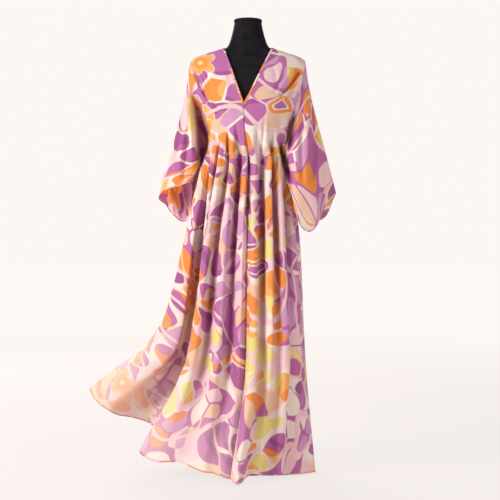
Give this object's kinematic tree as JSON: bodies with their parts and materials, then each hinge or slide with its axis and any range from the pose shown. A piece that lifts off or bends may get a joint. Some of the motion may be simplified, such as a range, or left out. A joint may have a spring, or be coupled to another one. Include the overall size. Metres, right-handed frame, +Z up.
{
  "type": "kaftan dress on a dress form",
  "caption": "Long kaftan dress in a swirl-printed voile, with a V neck, wide sleeves, a gathered waist and a flared skirt, worn by a black limbless dress form on a stand.",
  "frame": {"origin": "on the floor, centre of the form's axis, on the underside of the stand's foot", "axes": "+Z up along the form's axis; the wearer faces -Y; +X is the wearer's left"},
  "size_m": [0.8249, 0.5142, 1.4973],
  "materials": {
    "printed_voile": "soft matt, printed",
    "binding_voile": "soft matt, printed",
    "black_jersey": "matt black",
    "black_steel": "satin black"
  },
  "bodies": {
    "root": {"front_right": "printed_voile", "front_left": "printed_voile", "back": "printed_voile", "sleeve_right": "printed_voile", "sleeve_left": "printed_voile", "neck_binding": "binding_voile", "dress_form": "black_jersey", "neck_cap": "black_jersey", "stand_pole": "black_steel", "stand_foot": "black_steel"}
  },
  "joints": []
}
